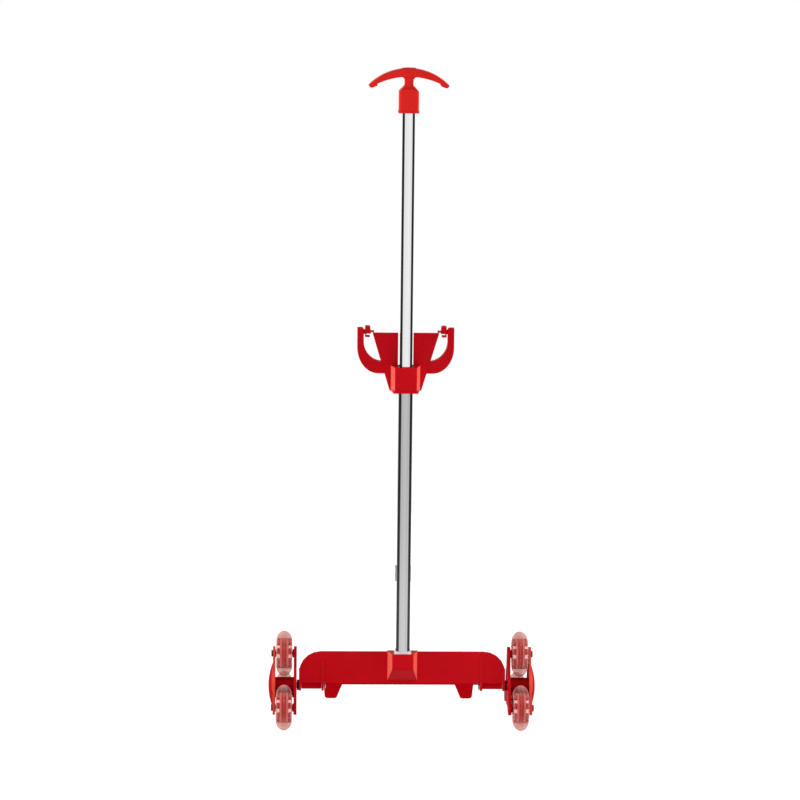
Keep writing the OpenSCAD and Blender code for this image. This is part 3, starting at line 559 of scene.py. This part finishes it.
# ---- Gates, clusters and wheels --------------------------------------------------

GATE = ("red_plastic", 0.0004, 2)
INNER_PLATE = ("cluster_plastic", 0.0006, 3)
OUTER_PLATE = ("cluster_plastic", 0.0008, 3)
CORE = ("wheel_core", 0.0003, 2)

# The cores stand a hair's breadth inside the tyres, so that no two faces share a place
CORE_SHRINK = 0.995

# The tyre's bore between the lugs of its core is painted near white, a painted glint for light
# that the clear tyre throws back there, inside this radius and outside this band
BORE_RADIUS = 0.0164
BORE_BAND = 0.0056


def make_plates(side):
    """The outer plate and its dome have their own finish beyond the wheels: a pale painted
    highlight on the outer plate's front-facing rim, and a darker red on faces turned to the sides.
    """
    softened(f"{side}_carrier_inner", *INNER_PLATE)
    outer = softened(f"{side}_carrier_outer", *OUTER_PLATE)
    wheel_side = wheel_middle() + WHEEL_HALF_WIDTH
    second_finish(outer, "dome_plastic", lambda face: abs(face.center.x) > wheel_side)


def make_wheel(side, place):
    core = softened(f"{side}_{place}_core", *CORE)
    low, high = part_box(f"{side}_{place}_core")
    centre = (low + high) / 2
    core.data.transform(Matrix.Translation(centre) @ Matrix.Scale(CORE_SHRINK, 4)
                        @ Matrix.Translation(-centre))

    def in_bore(face):
        spot = face.center - centre
        return abs(spot.x) > BORE_BAND and spot.yz.length < BORE_RADIUS

    second_finish(softened(f"{side}_{place}_tyre", "clear_tyre"), "tyre_bore", in_bore)


# ---- Springs ---------------------------------------------------------------------


def compressed_spring(node):
    """A softened copy of a spring, with a mesh of its own."""
    spring = softened(node, "spring_steel")
    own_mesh(spring)


# ---- Pieces that keep their CAD shape --------------------------------------------

FINISHES = {
    "steel": ("left_axle", "right_axle", "gate_pins", "push_rod", "lock_pin", "left_wheel_nuts",
              "right_wheel_nuts"),
    "black_plastic": ("hub_spacers", "guide_bush", "platform_catch", "lock_housing"),
    "black_steel": ("axle_clips", "tube_screws", "grip_screw", "left_wheel_bolts",
                    "right_wheel_bolts"),
    "ferrule": ("tube_ferrule",),
}
SMALL_PIECE_SHARP_ANGLE = 30


def finish_small_piece(piece, look):
    dress(piece, look)
    for face in piece.data.polygons:
        face.use_smooth = True
    piece.data.set_sharp_from_angle(angle=radians(SMALL_PIECE_SHARP_ANGLE))


# ---- All pieces ------------------------------------------------------------------

for node, values in LARGE_PIECES.items():
    softened(node, *values)
for side in SIDES:
    softened(f"{side}_gate", *GATE)
    make_plates(side)
    for place in PLACES:
        make_wheel(side, place)
compressed_spring("button_spring")
compressed_spring("pin_spring")
for look, names in FINISHES.items():
    for name in names:
        finish_small_piece(nodes[name], look)


# ---- World and floor -------------------------------------------------------------

STUDIO_WHITE = 1.0
SKY_LIGHT = 0.46
FLOOR_SIZE = (3.4, 2.6)
FLOOR_PLACE = (0, 0.1, -0.0006)
FLOOR_COLOUR = (0.86, 0.86, 0.86)
FLOOR_ROUGHNESS = 0.9
FLOOR_GLOW = 0.74
FLOOR_GLOW_STRENGTH = 1.30


def backdrop_rays(tree):
    """1 for rays that should see the white backdrop: camera, glossy and transmission rays."""
    rays = tree.nodes.new("ShaderNodeLightPath").outputs
    seen = maths(tree, "MAXIMUM", rays["Is Camera Ray"], rays["Is Glossy Ray"])
    return maths(tree, "MAXIMUM", seen, rays["Is Transmission Ray"])


def make_world():
    world = bpy.data.worlds.new("studio")
    world.use_nodes = True
    tree = world.node_tree
    background = tree.nodes["Background"]
    background.inputs["Color"].default_value = (1, 1, 1, 1)
    strength = ramp(tree, backdrop_rays(tree), SKY_LIGHT, STUDIO_WHITE, 0.0, 1.0)
    tree.links.new(strength, background.inputs["Strength"])
    bpy.context.scene.world = world


def stage_plane(name, size, location, rotation=(0, 0, 0)):
    mesh = bpy.data.meshes.new(name)
    shape = bmesh.new()
    bmesh.ops.create_grid(shape, x_segments=1, y_segments=1, size=0.5)
    bmesh.ops.scale(shape, vec=(*size, 1), verts=shape.verts)
    shape.to_mesh(mesh)
    shape.free()
    plane = bpy.data.objects.new(name, mesh)
    plane.location = location
    plane.rotation_euler = rotation
    bpy.context.scene.collection.objects.link(plane)
    return plane


def make_floor():
    """A white floor that keeps a soft part of the trolley's shadow."""
    floor = stage_plane("studio_floor", FLOOR_SIZE, FLOOR_PLACE)
    material, tree, shader = new_material("studio_floor")
    shader.inputs["Base Color"].default_value = (*FLOOR_COLOUR, 1)
    body_finish(shader, FLOOR_ROUGHNESS)
    glow = tree.nodes.new("ShaderNodeEmission")
    glow.inputs["Strength"].default_value = FLOOR_GLOW_STRENGTH
    share = ramp(tree, backdrop_rays(tree), 0.0, FLOOR_GLOW, 0.0, 1.0)
    surface(tree, mixed_shaders(tree, share, shader.outputs["BSDF"], glow.outputs["Emission"]))
    floor.data.materials.append(material)


# ---- Side flags ------------------------------------------------------------------

CARD_COLOUR = (0.004, 0.004, 0.004)
CARD_ROUGHNESS = 0.5
FLAG_DISTANCE = 0.8
FLAG_HEIGHT = 2.6
FLAG_MIDDLE_HEIGHT = 0.7

# From the pole. The gap straight beside it keeps the pole bright when it is seen from the side
FLAG_REACHES = {"front": (-0.62, -0.12), "rear": (0.12, 0.72)}


def make_side_flags():
    """Dark cards at both sides, which only reflections see: they edge the bright tubes."""
    material, tree, shader = new_material("dark_card")
    shader.inputs["Base Color"].default_value = (*CARD_COLOUR, 1)
    body_finish(shader, CARD_ROUGHNESS)
    pole_y = pole_centre().y
    for side, sign in zip(SIDES, (-1, 1)):
        for place, (start, end) in FLAG_REACHES.items():
            where = (sign * FLAG_DISTANCE, pole_y + (start + end) / 2, FLAG_MIDDLE_HEIGHT)
            card = stage_plane(f"{side}_{place}_flag", (end - start, FLAG_HEIGHT), where,
                               (radians(90), 0, radians(90)))
            card.data.materials.append(material)
            card.visible_camera = False
            card.visible_diffuse = False
            card.visible_shadow = False
            card.visible_transmission = False


# ---- Lamps -----------------------------------------------------------------------

POLE_TARGET = (0, -0.05, 0.45)
WHEEL_TARGET = (0, 0.05, 0.03)
LAMPS = {
    "top_front_softbox": {"location": (0.1, -1.5, 2.1), "target": POLE_TARGET,
                          "size": (1.4, 1.0), "power": 12, "reflected": True},
    "left_softbox": {"location": (-1.9, -0.35, 0.8), "target": POLE_TARGET,
                     "size": (0.9, 1.6), "power": 42, "reflected": False},
    "right_softbox": {"location": (1.9, -0.35, 0.8), "target": POLE_TARGET,
                      "size": (0.9, 1.6), "power": 42, "reflected": False},
    "low_front_softbox": {"location": (0, -1.7, 0.12), "target": WHEEL_TARGET,
                          "size": (1.2, 0.2), "power": 4, "reflected": False},
}


def add_lamp(name, location, target, size, power, reflected):
    data = bpy.data.lights.new(name, "AREA")
    data.shape = "RECTANGLE"
    data.size, data.size_y = size
    data.energy = power
    lamp = bpy.data.objects.new(name, data)
    lamp.location = location
    direction = Vector(target) - Vector(location)
    lamp.rotation_euler = direction.to_track_quat("-Z", "Y").to_euler()
    lamp.visible_glossy = reflected
    bpy.context.scene.collection.objects.link(lamp)


# ---- Camera ----------------------------------------------------------------------

CAMERA_DISTANCE = 4.13
CAMERA_HEIGHT = 1.1085
CAMERA_PITCH = 9.2
CAMERA_AZIMUTH = 1.9
CAMERA_ROLL = 0.63
CAMERA_LENS = 144.0
SENSOR_WIDTH = 36.0
POLE_OFFSET = 0.0071


def make_camera():
    pole = pole_centre()
    azimuth = radians(CAMERA_AZIMUTH)
    data = bpy.data.cameras.new("photo_camera")
    data.lens = CAMERA_LENS
    data.sensor_width = SENSOR_WIDTH
    data.sensor_fit = "HORIZONTAL"
    camera = bpy.data.objects.new("photo_camera", data)
    place = Vector((pole.x - POLE_OFFSET - CAMERA_DISTANCE * sin(azimuth),
                    pole.y - CAMERA_DISTANCE * cos(azimuth), CAMERA_HEIGHT))
    turn = (Matrix.Rotation(-azimuth, 4, "Z") @ Matrix.Rotation(radians(90 - CAMERA_PITCH), 4, "X")
            @ Matrix.Rotation(radians(CAMERA_ROLL), 4, "Z"))
    camera.matrix_world = Matrix.Translation(place) @ turn
    bpy.context.scene.collection.objects.link(camera)
    bpy.context.scene.camera = camera


make_world()
make_floor()
make_side_flags()
for name, values in LAMPS.items():
    add_lamp(name, **values)
make_camera()
bpy.context.scene.view_settings.view_transform = "Standard"

# ---- The end ---------------------------------------------------------------------

bpy.context.view_layer.update()
